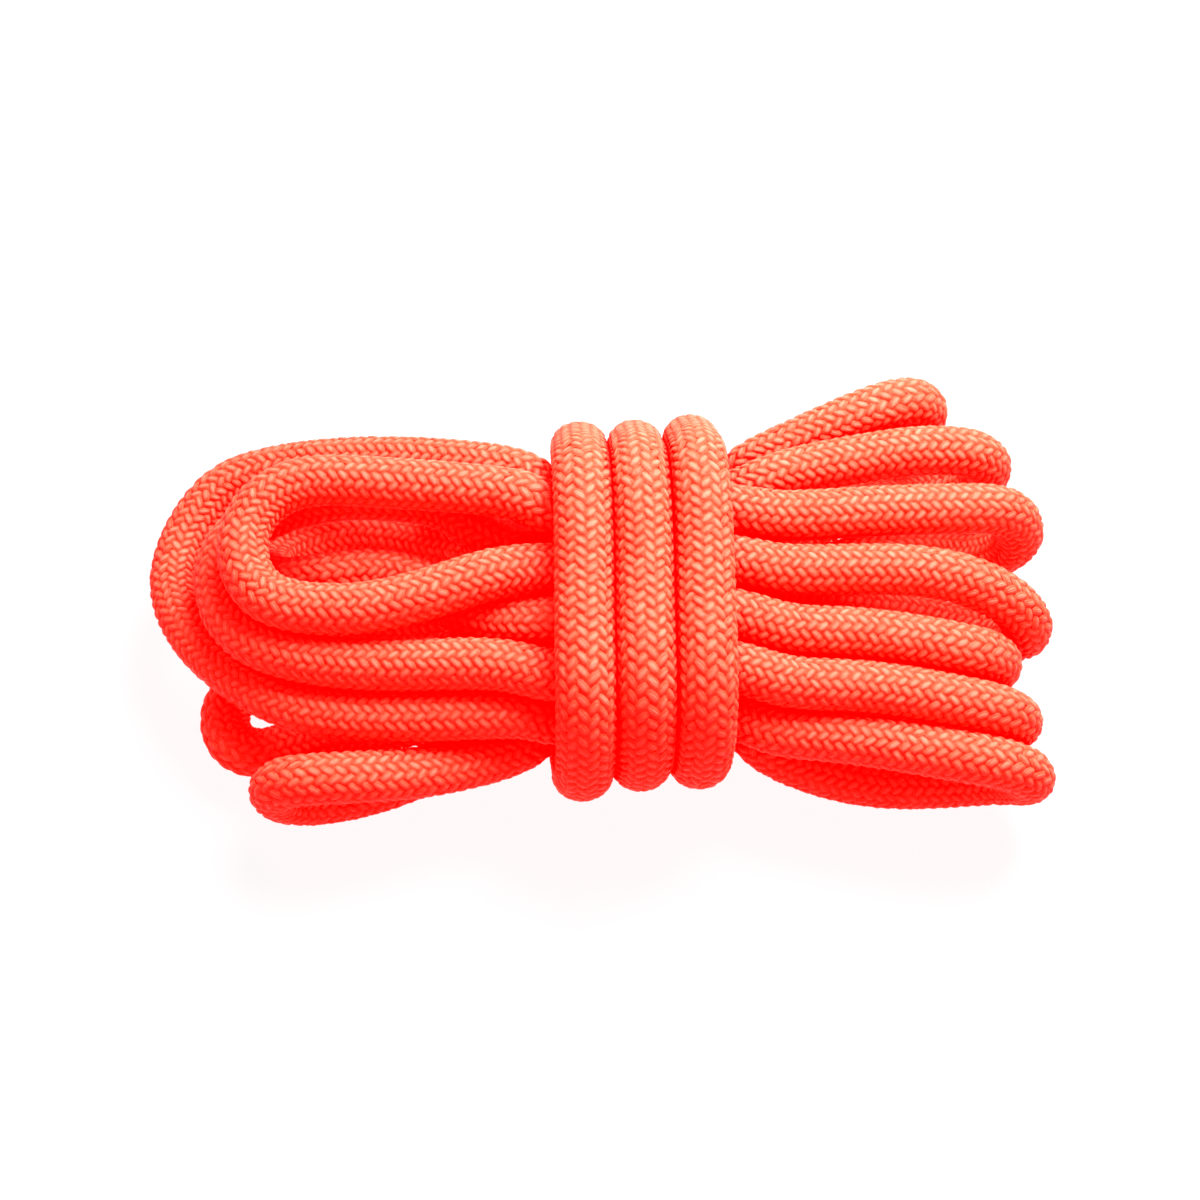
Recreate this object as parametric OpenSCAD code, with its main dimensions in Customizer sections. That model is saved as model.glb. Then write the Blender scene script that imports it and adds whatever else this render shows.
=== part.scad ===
// Dynamic climbing rope, single rope, packed as a wrapped hank.
// One kernmantle rope: a hollow woven sheath over parallel core strands and a marker tape,
// heat-fused at both cut ends. It runs as one cord through seven bights on the right,
// six loops on the left and three wraps round the middle.
// The hank lies on its back: X runs along it, Z is up, and the wraps' upper side faces up.

/* [Rope] */
// Nominal diameter of the rope over the crowns of its braid
rope_d = 9.8; // [8.5:0.1:11]
// Height of the braid's crowns above the sheath's solid surface
braid_relief = 0.2; // [0:0.05:0.4]
// Thickness of the woven sheath
sheath_wall = 1.2; // [0.8:0.1:1.6]
// Gap between the facing sides of two outer core strands
strand_gap = 0.8; // [0.5:0.05:1.1]
// Play between the core strands and what lies next to them
core_play = 0.15; // [0.05:0.05:0.3]

/* [Marker tape] */
// Width of the marker tape under the sheath
tape_w = 1; // [0.6:0.1:1.6]
// Thickness of the marker tape
tape_t = 0.1; // [0.05:0.01:0.15]

/* [Fused ends] */
// Length of rope that is melted solid at a cut end
fused_len = 8; // [4:0.5:14]
// Rounding of the melted rim
fused_round = 1; // [0.3:0.1:2]

/* [Hank] */
// Distance from one wrap to the next
wrap_pitch = 10.9; // [10:0.1:12]
// Place of the first wrap along the hank
first_wrap_x = -2.9; // [-6:0.1:2]

/* [Fineness] */
// How far a straight stretch between two rings may cut inside the route's bend
bend_sag = 0.4; // [0.1:0.05:0.8]
// Samples along the route from one route point to the next
route_steps = 8; // [4:1:16]

/* [Hidden] */

rope_coral = "#ff5a3c";
core_white = "#f3f1ea";
tape_white = "#dfe4e8";
fused_coral = "#d8452c";

$fn = 48;
sheath_sides = 8;
strand_sides = 3;
outer_strands = 6;
sheath_r = rope_d / 2 - braid_relief;
bore_r = sheath_r - sheath_wall;
// The tape lies under the middle of one side of the bore.
tape_angle = 180 / sheath_sides;
tape_gap = 0.1;
tape_top = bore_r * cos(tape_angle) - tape_gap;
// The outer core strands fill the bore up to the tape: six equal-sided wedges, with their
// inner corners strand_gap from the axis and their outer corners on one circle.
core_r = tape_top - tape_t - core_play;
wedge_out = (strand_gap + sqrt(12 * pow(core_r, 2) - 3 * pow(strand_gap, 2))) / 4;
outer_strand_r = (wedge_out - strand_gap) * 2 / 3;
strand_ring = strand_gap + outer_strand_r;
// The middle strand stands clear of the wedges' inner corners.
middle_strand_r = strand_gap - core_play;
// Play between the woven rope and its fused ends
fused_gap = 0.05;
// The longest stretch without a ring, where the route is straight
longest_step = 200;
// The place of the hank over the part's origin, at the middle of its footprint
hank_shift = [0.8, -8.2, -0.1];

// The fourteen legs inside the wraps: [y, z] of each in the hank's middle plane.
top_legs = [[14, 39.5], [4, 37.6], [-6.4, 36.2], [-16.5, 34.3]];
mid_legs = [[20.5, 31.5], [10.2, 29.5], [0, 27.5], [-10.5, 26], [-20.5, 24]];
low_legs = [[26.8, 23], [16.5, 21], [6.5, 19], [-4, 18], [-14.5, 15.5]];
// Each leg drifts a little towards the hank's axis as it passes: [x, squeeze, dy, dz].
leg_drift = [[-7, 1, 0, 0], [8, 0.975, 1, 0.5], [23, 0.985, 2, 0.5]];
bundle_z = 26;

function leg_points(leg) = [for (d = leg_drift)
    [d.x, d.y * leg.x + d.z, bundle_z + d.y * (leg.y - bundle_z) + d[3]]];
function leg_right(leg) = leg_points(leg);
function leg_left(leg) = let (p = leg_points(leg)) [p[2], p[1], p[0]];

// The rope's start, on the ground under the left loops.
start_run = [[-52, 9.5, 5], [-44, 9.5, 5], [-36, 9.5, 5], [-27, 9.3, 8.6], [-17, 8.3, 13.4]];

// The seven bights on the right, from the top of the fan (1) to its bottom (7).
bight_1 = [[31, 24, 15.6], [39, 32.3, 11], [48, 41.5, 8.5], [57, 47.5, 9.5], [63, 48, 16],
    [65, 46.5, 25], [61, 44.3, 33], [52, 41, 34], [41, 37.2, 31], [32, 34.3, 27.8], [27.5, 31.9, 26.2]];
bight_2 = [[31, 14.6, 27.4], [40, 22, 22], [50, 29.5, 16], [60, 35.5, 9.5], [68, 37, 9],
    [75.5, 36, 15], [77, 35, 23.5], [72, 33.5, 31], [62, 32.2, 34], [50, 29.8, 34.7],
    [39, 27.4, 34.6], [31, 25, 34]];
bight_3 = [[32, 12, 16], [41, 16.7, 13], [51, 20.6, 11.6], [61, 23.6, 9.5], [70, 23.9, 7.8],
    [78, 21.6, 12], [82, 19.8, 21.5], [78.5, 20, 31], [70, 18.3, 35.3], [58, 17.3, 36.5],
    [45, 15.8, 38], [33, 14.8, 38.4]];
bight_4 = [[33, 4.3, 36.7], [45, 4.7, 36], [57, 5, 35.3], [68, 4, 33.5], [77.8, 1.6, 28.5],
    [82.1, 0.2, 20.2], [79, 2.7, 12.3], [69, 6.8, 9.2], [60, 7.5, 12], [50, 6.5, 16.5],
    [40, 5, 21], [31, 3, 25]];
bight_5 = [[31, -4, 14.5], [40, -4, 10.5], [50, -3.5, 7.5], [61, -3, 6], [70, -4, 8.5],
    [75, -6.6, 16], [74.5, -8, 24], [68, -9, 30], [58, -8, 32], [46, -7, 33.4],
    [34, -6.9, 34.1]];
bight_6 = [[31, -10.5, 23.5], [40, -12.5, 18], [50, -13.5, 12], [60, -13.6, 8],
    [68.5, -13.9, 7.6], [75.5, -16.2, 10.8], [78.5, -18.8, 18.2], [75.3, -19.7, 25.4],
    [66, -19.5, 29.5], [55, -18, 31], [44, -17.2, 32], [33, -16.8, 32.6]];
bight_7 = [[31, -22.5, 24.2], [43, -24.5, 25.5], [54, -26.6, 26.2], [66.5, -29, 26.2],
    [76.5, -29.6, 22.8], [80.3, -29.2, 16], [77, -26.2, 9.5], [68, -25.6, 6.3],
    [56, -25.9, 6.2], [45, -24.5, 7.2], [36.5, -21.9, 8.8], [29.5, -18.8, 11.6]];

// The six loops on the left, from the widest (a) to the one at the bottom (f).
loop_a = [[-12, 25.7, 32.3], [-18, 28.7, 32.3], [-30, 31.5, 30.5], [-43, 34, 27.5], [-56, 35.5, 24],
    [-68, 34.9, 21], [-77.7, 30.7, 18.5], [-84.3, 15, 16], [-78.3, 0, 18], [-67.3, -10.8, 21],
    [-56, -17.6, 23], [-43, -20.2, 25], [-30, -20.7, 26.4], [-18, -20.3, 26.6], [-12, -20.3, 25.7]];
loop_b = [[-12, 16, 42], [-18, 17.5, 42.5], [-29, 18.8, 42.5], [-42, 20, 42], [-54, 21, 41],
    [-62.5, 17.5, 40], [-66.5, 9, 39], [-63, -0.9, 38], [-53.5, -4.4, 38], [-41, -4.7, 39],
    [-29, -1.5, 39.6], [-18, 2.5, 39.2]];
loop_c = [[-13, -15.5, 34.7], [-20, -14.2, 34.6], [-30, -13.8, 33.6], [-42, -13.2, 32.2],
    [-53, -11.3, 31], [-63, -7.8, 29.8], [-70, -1, 28.5], [-72.5, 9.5, 28], [-68.5, 17.5, 28.5],
    [-60, 21.8, 30.2], [-48, 23.3, 31.8], [-36, 22.2, 32.4], [-29, 20.5, 32], [-22, 15.5, 30.5],
    [-15, 12, 29.7]];
loop_d = [[-17, -4.3, 31.7], [-25, -1.2, 29.7], [-33, 4.8, 29], [-41, 8, 28.6], [-50, 7.6, 28],
    [-58.5, 8.5, 24.5], [-64, 12.5, 18], [-65.3, 19.3, 12], [-60.2, 25.1, 8], [-52, 28.7, 7.3],
    [-44, 28.4, 7.3], [-35, 25.9, 8.5], [-25, 21.5, 12.7], [-16, 18, 17.8]];
loop_e = [[-18, 0.6, 20.8], [-29, -4, 17], [-41, -5.6, 14], [-52, -5.2, 12],
    [-63, -4.8, 10.5], [-70, -7, 9.8], [-72.7, -13, 9], [-70.6, -18.5, 8.4],
    [-65.4, -20.1, 7.8], [-60, -18.4, 7.5], [-53, -16.6, 8], [-45, -15.6, 9.5],
    [-35, -15.3, 12.4], [-26, -13.8, 17.3], [-17, -11, 22.2]];
loop_f = [[-13, -21, 15.1], [-22, -25.5, 17], [-32, -29, 19.5], [-42, -31, 22],
    [-51, -31.8, 22.5], [-58.5, -31.5, 20], [-61, -31, 14], [-58, -30, 8], [-51, -28.5, 5.5],
    [-41, -25.7, 5.2], [-31, -21.5, 6.3], [-22.3, -16.4, 7.8], [-14, -8.4, 12.4]];

// The last leg turns down on the left and goes under the bundle to the first wrap.
wrap_entry = [[-12, 27.8, 22.5], [-21, 28.5, 21.5], [-27.7, 30, 19], [-31, 33.5, 13.5],
    [-28, 37, 7.6], [-21.5, 37, 5.2], [-15.5, 33, 5.2], [-12.3, 26, 6.3], [-10.8, 15, 6.9],
    [-8.7, 4, 6], [-6.5, -8, 5.4]];
// One wrap round the bundle: [x beside the wrap's own place, y, z].
wrap_turn = [[-2.3, -18.3, 6.1], [-1.4, -24.4, 10.8], [-0.5, -29.2, 17.2], [0.2, -31, 25],
    [0.4, -29.3, 33.5], [0.4, -25.3, 40.5], [0.3, -18.5, 44.7], [0.1, -8, 46.8],
    [0, 3, 48.6], [-0.3, 12.5, 50], [-0.7, 20.7, 47.7], [-1, 26.5, 42],
    [-1.2, 31.7, 35.7], [-1.2, 36.8, 29], [-1, 38.2, 22], [-0.6, 35.3, 16],
    [0.7, 28.5, 12.7], [2.9, 18, 10.6], [5.4, 6, 8.2], [7.9, -7, 5.8]];
// How each wrap sits on the bundle: [squeeze, dy, dz, how many of its points it keeps].
wrap_fit = [[1, 0, 0, 20], [0.975, 1, 0.5, 20], [0.985, 1.8, 0.5, 15]];
// The rope's other end is tucked back under the bundle.
finish_run = [[19.7, 35.5, 15], [21, 30, 9.5], [23.4, 21, 6.5], [25.9, 13, 5.1],
    [28, 6.5, 5]];

function wrap_points(w) = let (f = wrap_fit[w]) [for (i = [0 : f[3] - 1])
    let (p = wrap_turn[i])
    [first_wrap_x + wrap_pitch * w + p.x, f.x * p.y + f.y,
        bundle_z + f.x * (p.z - bundle_z) + f.z]];

route_points = [for (p = concat(
    start_run, leg_right(low_legs[2]),
    bight_3, leg_left(top_legs[0]), loop_b, leg_right(top_legs[1]),
    bight_4, leg_left(mid_legs[2]), loop_e, leg_right(mid_legs[3]),
    bight_6, leg_left(top_legs[3]), loop_c, leg_right(mid_legs[1]),
    bight_2, leg_left(mid_legs[0]), loop_a, leg_right(mid_legs[4]),
    bight_7, leg_left(low_legs[4]), loop_f, leg_right(low_legs[3]),
    bight_5, leg_left(top_legs[2]), loop_d, leg_right(low_legs[1]),
    bight_1, leg_left(low_legs[0]), wrap_entry,
    wrap_points(0), wrap_points(1), wrap_points(2), finish_run))
    p + hank_shift];

// The route is a smooth curve close to its points: a uniform cubic B-spline
// whose control points are pushed out by a sixth of the local bend.
function smooth_controls(p) = let (n = len(p)) [for (i = [0 : n - 1])
    i == 0 || i == n - 1 ? p[i] : p[i] - (p[i - 1] - 2 * p[i] + p[i + 1]) / 6];
function with_ends(q) = let (n = len(q))
    concat([2 * q[0] - q[1]], q, [2 * q[n - 1] - q[n - 2]]);
function spline_point(q, i, t) =
    (pow(1 - t, 3) * q[i] + (3 * pow(t, 3) - 6 * t * t + 4) * q[i + 1]
    + (-3 * pow(t, 3) + 3 * t * t + 3 * t + 1) * q[i + 2] + pow(t, 3) * q[i + 3]) / 6;
function curve(p) = let (q = with_ends(smooth_controls(p)), spans = len(p) - 1)
    [for (i = [0 : spans * route_steps])
        let (s = min(floor(i / route_steps), spans - 1))
        spline_point(q, s, i / route_steps - s)];

function unit(v) = v / norm(v);
function angle_between(a, b) = atan2(norm(cross(a, b)), a * b);

samples = curve(route_points);
last_sample = len(samples) - 1;
// Rings are dense where the route bends: each step from sample to sample costs
// the share of a ring that keeps the straight stretch within bend_sag of the curve.
step_cost = [for (i = [1 : last_sample])
    let (
        back = samples[i] - samples[i - 1],
        ahead = i < last_sample ? samples[i + 1] - samples[i] : back,
        bend = angle_between(back, ahead) * PI / 180)
    sqrt(norm(back) * bend / (8 * bend_sag)) + norm(back) / longest_step];
running_cost = [for (i = 0, sum = 0; i <= last_sample;
    sum = sum + (i < last_sample ? step_cost[i] : 0), i = i + 1) sum];
ring_samples = [for (i = [0 : last_sample])
    if (i == 0 || i == last_sample || (floor(running_cost[i]) > floor(running_cost[i - 1])
        && i < last_sample - route_steps / 2))
        i];
ring_count = len(ring_samples);
ring_centres = [for (i = ring_samples) samples[i]];
ring_axes = [for (i = ring_samples)
    unit(samples[min(i + 1, last_sample)] - samples[max(i - 1, 0)])];
// The sections turn as little as they can from ring to ring.
ring_ups = [for (i = 0, up = unit(cross(ring_axes[0], [0, 1, 0])); i < ring_count;
    i = i + 1, up = i < ring_count ? unit(up - (up * ring_axes[i]) * ring_axes[i]) : up)
    up];

// A point of a section at ring i: u along the ring's up, v beside it.
function on_ring(i, uv) = ring_centres[i] + uv.x * ring_ups[i]
    + uv.y * cross(ring_axes[i], ring_ups[i]);
function swept_points(section) = [for (i = [0 : ring_count - 1], uv = section) on_ring(i, uv)];
// A regular section, with its first corner at the given turn round the middle.
function corners(r, sides, middle, turn) = [for (k = [0 : sides - 1])
    middle + r * [cos(turn + 360 * k / sides), sin(turn + 360 * k / sides)]];
// Triangles between neighbouring rings; first is the number of the stretch's first point.
function side_faces(sides, first, inward) = [for (i = [0 : ring_count - 2],
    k = [0 : sides - 1], half = [0, 1])
    let (
        a = first + i * sides + k,
        b = first + i * sides + (k + 1) % sides,
        c = b + sides,
        d = a + sides,
        face = half == 0 ? [a, b, c] : [a, c, d])
    inward ? face : [face[2], face[1], face[0]]];

module swept_solid(section) {
    sides = len(section);
    last_ring = (ring_count - 1) * sides;
    polyhedron(
        points = swept_points(section),
        faces = concat(
            side_faces(sides, 0, false),
            [[for (k = [0 : sides - 1]) k]],
            [[for (k = [sides - 1 : -1 : 0]) last_ring + k]]),
        convexity = 10);
}

// The sheath is a woven tube: its outside and its bore follow the same rings,
// and a flat ring closes it at each end.
module sheath() {
    sides = sheath_sides;
    bore_first = ring_count * sides;
    last_ring = bore_first - sides;
    color(rope_coral)
        polyhedron(
            points = concat(
                swept_points(corners(sheath_r, sides, [0, 0], 0)),
                swept_points(corners(bore_r, sides, [0, 0], 0))),
            faces = concat(
                side_faces(sides, 0, false),
                side_faces(sides, bore_first, true),
                [for (k = [0 : sides - 1]) let (n = (k + 1) % sides)
                    [k, n, bore_first + n, bore_first + k]],
                [for (k = [0 : sides - 1]) let (n = (k + 1) % sides)
                    [last_ring + n, last_ring + k,
                        bore_first + last_ring + k, bore_first + last_ring + n]]),
            convexity = 10);
}

// A core strand is a bundle of twisted polyamide plies. The outer six are pressed
// to wedges by the sheath, with one corner towards the middle one.
module core_strand(number) {
    turn = 360 * (number - 2) / outer_strands;
    section = number == 1
        ? corners(middle_strand_r, strand_sides, [0, 0], 0)
        : corners(outer_strand_r, strand_sides, strand_ring * [cos(turn), sin(turn)], turn + 180);
    color(core_white) swept_solid(section);
}

// The tape that names the rope's make and year inside the sheath, left blank here.
module marker_tape() {
    out = [cos(tape_angle), sin(tape_angle)];
    along = [-sin(tape_angle), cos(tape_angle)];
    section = [for (side = [[-1, 1], [-1, 0], [1, 0], [1, 1]])
        (tape_top - side.y * tape_t) * out + side.x * tape_w / 2 * along];
    color(tape_white) swept_solid(section);
}

// A cut end, melted solid: a plug of the rope's full diameter with a rounded rim.
module fused_end(at, axis) {
    r = rope_d / 2;
    color(fused_coral)
        translate(at + fused_gap * axis)
        rotate([0, acos(axis.z), atan2(axis.y, axis.x)])
        rotate_extrude()
        union() {
            square([r, fused_len - fused_round]);
            square([r - fused_round, fused_len]);
            translate([r - fused_round, fused_len - fused_round]) circle(fused_round);
        }
}

module fused_end_start() fused_end(ring_centres[0], -ring_axes[0]);
module fused_end_finish() fused_end(ring_centres[ring_count - 1], ring_axes[ring_count - 1]);

sheath();
core_strand(1);  // core_strand_1
core_strand(2);  // core_strand_2
core_strand(3);  // core_strand_3
core_strand(4);  // core_strand_4
core_strand(5);  // core_strand_5
core_strand(6);  // core_strand_6
core_strand(7);  // core_strand_7
marker_tape();
fused_end_start();
fused_end_finish();
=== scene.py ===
import math

import bmesh
import bpy
import numpy as np
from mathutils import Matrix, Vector


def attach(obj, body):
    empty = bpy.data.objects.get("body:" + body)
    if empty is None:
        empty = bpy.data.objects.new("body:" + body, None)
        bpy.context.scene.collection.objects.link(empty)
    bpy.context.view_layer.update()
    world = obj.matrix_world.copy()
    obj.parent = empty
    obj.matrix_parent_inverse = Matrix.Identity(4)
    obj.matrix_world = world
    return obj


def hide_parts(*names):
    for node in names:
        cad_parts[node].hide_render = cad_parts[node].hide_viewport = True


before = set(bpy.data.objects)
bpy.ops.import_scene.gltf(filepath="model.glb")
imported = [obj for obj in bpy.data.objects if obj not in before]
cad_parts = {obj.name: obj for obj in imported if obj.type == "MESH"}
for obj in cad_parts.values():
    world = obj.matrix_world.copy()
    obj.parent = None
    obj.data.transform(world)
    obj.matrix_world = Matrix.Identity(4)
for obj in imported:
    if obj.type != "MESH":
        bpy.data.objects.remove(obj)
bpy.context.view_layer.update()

mm = 0.001
scene = bpy.context.scene

# The camera looks steeply down on the hank from its front.
cameraView = {
    "target": (0.0008, -0.0082, 0.0279),
    "elevation": 62,  # degrees
    "distance": 0.380,  # metres
    "pixelsPerMm": 5.3,  # at the target
    "framePixels": 1200,
    "targetRow": 612,  # pixel row of the target, from the top
    "sensorWidth": 36,  # millimetres
    "clip": (0.01, 20),  # nearest and farthest, metres
}

# The rope's route in metres, the same points as its solids follow. A leg has one y and z,
# where it crosses under the first wrap; the rest is x, y and z, and wrapTurn is one turn.
routePoints = {
    "topLegs": [(0.014, 0.0395), (0.004, 0.0376), (-0.0064, 0.0362), (-0.0165, 0.0343)],
    "midLegs": [(0.0205, 0.0315), (0.0102, 0.0295), (0, 0.0275), (-0.0105, 0.026),
        (-0.0205, 0.024)],
    "lowLegs": [(0.0268, 0.023), (0.0165, 0.021), (0.0065, 0.019), (-0.004, 0.018),
        (-0.0145, 0.0155)],
    "startRun": [(-0.052, 0.0095, 0.005), (-0.044, 0.0095, 0.005), (-0.036, 0.0095, 0.005),
        (-0.027, 0.0093, 0.0086), (-0.017, 0.0083, 0.0134)],
    "bight1": [(0.031, 0.024, 0.0156), (0.039, 0.0323, 0.011), (0.048, 0.0415, 0.0085),
        (0.057, 0.0475, 0.0095), (0.063, 0.048, 0.016), (0.065, 0.0465, 0.025),
        (0.061, 0.0443, 0.033), (0.052, 0.041, 0.034), (0.041, 0.0372, 0.031),
        (0.032, 0.0343, 0.0278), (0.0275, 0.0319, 0.0262)],
    "bight2": [(0.031, 0.0146, 0.0274), (0.04, 0.022, 0.022), (0.05, 0.0295, 0.016),
        (0.06, 0.0355, 0.0095), (0.068, 0.037, 0.009), (0.0755, 0.036, 0.015),
        (0.077, 0.035, 0.0235), (0.072, 0.0335, 0.031), (0.062, 0.0322, 0.034),
        (0.05, 0.0298, 0.0347), (0.039, 0.0274, 0.0346), (0.031, 0.025, 0.034)],
    "bight3": [(0.032, 0.012, 0.016), (0.041, 0.0167, 0.013), (0.051, 0.0206, 0.0116),
        (0.061, 0.0236, 0.0095), (0.07, 0.0239, 0.0078), (0.078, 0.0216, 0.012),
        (0.082, 0.0198, 0.0215), (0.0785, 0.02, 0.031), (0.07, 0.0183, 0.0353),
        (0.058, 0.0173, 0.0365), (0.045, 0.0158, 0.038), (0.033, 0.0148, 0.0384)],
    "bight4": [(0.033, 0.0043, 0.0367), (0.045, 0.0047, 0.036), (0.057, 0.005, 0.0353),
        (0.068, 0.004, 0.0335), (0.0778, 0.0016, 0.0285), (0.0821, 0.0002, 0.0202),
        (0.079, 0.0027, 0.0123), (0.069, 0.0068, 0.0092), (0.06, 0.0075, 0.012),
        (0.05, 0.0065, 0.0165), (0.04, 0.005, 0.021), (0.031, 0.003, 0.025)],
    "bight5": [(0.031, -0.004, 0.0145), (0.04, -0.004, 0.0105), (0.05, -0.0035, 0.0075),
        (0.061, -0.003, 0.006), (0.07, -0.004, 0.0085), (0.075, -0.0066, 0.016),
        (0.0745, -0.008, 0.024), (0.068, -0.009, 0.03), (0.058, -0.008, 0.032),
        (0.046, -0.007, 0.0334), (0.034, -0.0069, 0.0341)],
    "bight6": [(0.031, -0.0105, 0.0235), (0.04, -0.0125, 0.018), (0.05, -0.0135, 0.012),
        (0.06, -0.0136, 0.008), (0.0685, -0.0139, 0.0076), (0.0755, -0.0162, 0.0108),
        (0.0785, -0.0188, 0.0182), (0.0753, -0.0197, 0.0254), (0.066, -0.0195, 0.0295),
        (0.055, -0.018, 0.031), (0.044, -0.0172, 0.032), (0.033, -0.0168, 0.0326)],
    "bight7": [(0.031, -0.0225, 0.0242), (0.043, -0.0245, 0.0255), (0.054, -0.0266, 0.0262),
        (0.0665, -0.029, 0.0262), (0.0765, -0.0296, 0.0228), (0.0803, -0.0292, 0.016),
        (0.077, -0.0262, 0.0095), (0.068, -0.0256, 0.0063), (0.056, -0.0259, 0.0062),
        (0.045, -0.0245, 0.0072), (0.0365, -0.0219, 0.0088), (0.0295, -0.0188, 0.0116)],
    "loopA": [(-0.012, 0.0257, 0.0323), (-0.018, 0.0287, 0.0323), (-0.03, 0.0315, 0.0305),
        (-0.043, 0.034, 0.0275), (-0.056, 0.0355, 0.024), (-0.068, 0.0349, 0.021),
        (-0.0777, 0.0307, 0.0185), (-0.0843, 0.015, 0.016), (-0.0783, 0, 0.018),
        (-0.0673, -0.0108, 0.021), (-0.056, -0.0176, 0.023), (-0.043, -0.0202, 0.025),
        (-0.03, -0.0207, 0.0264), (-0.018, -0.0203, 0.0266), (-0.012, -0.0203, 0.0257)],
    "loopB": [(-0.012, 0.016, 0.042), (-0.018, 0.0175, 0.0425), (-0.029, 0.0188, 0.0425),
        (-0.042, 0.02, 0.042), (-0.054, 0.021, 0.041), (-0.0625, 0.0175, 0.04),
        (-0.0665, 0.009, 0.039), (-0.063, -0.0009, 0.038), (-0.0535, -0.0044, 0.038),
        (-0.041, -0.0047, 0.039), (-0.029, -0.0015, 0.0396), (-0.018, 0.0025, 0.0392)],
    "loopC": [(-0.013, -0.0155, 0.0347), (-0.02, -0.0142, 0.0346), (-0.03, -0.0138, 0.0336),
        (-0.042, -0.0132, 0.0322), (-0.053, -0.0113, 0.031), (-0.063, -0.0078, 0.0298),
        (-0.07, -0.001, 0.0285), (-0.0725, 0.0095, 0.028), (-0.0685, 0.0175, 0.0285),
        (-0.06, 0.0218, 0.0302), (-0.048, 0.0233, 0.0318), (-0.036, 0.0222, 0.0324),
        (-0.029, 0.0205, 0.032), (-0.022, 0.0155, 0.0305), (-0.015, 0.012, 0.0297)],
    "loopD": [(-0.017, -0.0043, 0.0317), (-0.025, -0.0012, 0.0297), (-0.033, 0.0048, 0.029),
        (-0.041, 0.008, 0.0286), (-0.05, 0.0076, 0.028), (-0.0585, 0.0085, 0.0245),
        (-0.064, 0.0125, 0.018), (-0.0653, 0.0193, 0.012), (-0.0602, 0.0251, 0.008),
        (-0.052, 0.0287, 0.0073), (-0.044, 0.0284, 0.0073), (-0.035, 0.0259, 0.0085),
        (-0.025, 0.0215, 0.0127), (-0.016, 0.018, 0.0178)],
    "loopE": [(-0.018, 0.0006, 0.0208), (-0.029, -0.004, 0.017), (-0.041, -0.0056, 0.014),
        (-0.052, -0.0052, 0.012), (-0.063, -0.0048, 0.0105), (-0.07, -0.007, 0.0098),
        (-0.0727, -0.013, 0.009), (-0.0706, -0.0185, 0.0084), (-0.0654, -0.0201, 0.0078),
        (-0.06, -0.0184, 0.0075), (-0.053, -0.0166, 0.008), (-0.045, -0.0156, 0.0095),
        (-0.035, -0.0153, 0.0124), (-0.026, -0.0138, 0.0173), (-0.017, -0.011, 0.0222)],
    "loopF": [(-0.013, -0.021, 0.0151), (-0.022, -0.0255, 0.017), (-0.032, -0.029, 0.0195),
        (-0.042, -0.031, 0.022), (-0.051, -0.0318, 0.0225), (-0.0585, -0.0315, 0.02),
        (-0.061, -0.031, 0.014), (-0.058, -0.03, 0.008), (-0.051, -0.0285, 0.0055),
        (-0.041, -0.0257, 0.0052), (-0.031, -0.0215, 0.0063), (-0.0223, -0.0164, 0.0078),
        (-0.014, -0.0084, 0.0124)],
    "wrapEntry": [(-0.012, 0.0278, 0.0225), (-0.021, 0.0285, 0.0215), (-0.0277, 0.03, 0.019),
        (-0.031, 0.0335, 0.0135), (-0.028, 0.037, 0.0076), (-0.0215, 0.037, 0.0052),
        (-0.0155, 0.033, 0.0052), (-0.0123, 0.026, 0.0063), (-0.0108, 0.015, 0.0069),
        (-0.0087, 0.004, 0.006), (-0.0065, -0.008, 0.0054)],
    "wrapTurn": [(-0.0023, -0.0183, 0.0061), (-0.0014, -0.0244, 0.0108),
        (-0.0005, -0.0292, 0.0172), (0.0002, -0.031, 0.025), (0.0004, -0.0293, 0.0335),
        (0.0004, -0.0253, 0.0405), (0.0003, -0.0185, 0.0447), (0.0001, -0.008, 0.0468),
        (0, 0.003, 0.0486), (-0.0003, 0.0125, 0.05), (-0.0007, 0.0207, 0.0477),
        (-0.001, 0.0265, 0.042), (-0.0012, 0.0317, 0.0357), (-0.0012, 0.0368, 0.029),
        (-0.001, 0.0382, 0.022), (-0.0006, 0.0353, 0.016), (0.0007, 0.0285, 0.0127),
        (0.0029, 0.018, 0.0106), (0.0054, 0.006, 0.0082), (0.0079, -0.007, 0.0058)],
    "finishRun": [(0.0197, 0.0355, 0.015), (0.021, 0.03, 0.0095), (0.0234, 0.021, 0.0065),
        (0.0259, 0.013, 0.0051), (0.028, 0.0065, 0.005)],
    # of each point of a leg: x along the hank, squeeze about the bundle's middle, y and z moves
    "legDrift": [(-0.007, 1, 0, 0), (0.008, 0.975, 0.001, 0.0005), (0.023, 0.985, 0.002, 0.0005)],
    # of each wrap: squeeze, y and z moves, and how many of the turn's points it takes
    "wrapFit": [(1, 0, 0, 20), (0.975, 0.001, 0.0005, 20), (0.985, 0.0018, 0.0005, 15)],
    "bundleHeight": 0.026,  # of the bundle's middle
    "firstWrapX": -0.0029,
    "wrapPitch": 0.0109,  # from wrap to wrap along the hank
    "shift": (0.0008, -0.0082, -0.0001),  # brings the middle of the footprint to the origin
}


def hexColour(text):
    # sRGB hex to the linear values that the nodes take
    parts = [int(text[i : i + 2], 16) / 255 for i in (1, 3, 5)]
    return [c / 12.92 if c <= 0.04045 else ((c + 0.055) / 1.055) ** 2.4 for c in parts] + [1]


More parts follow.
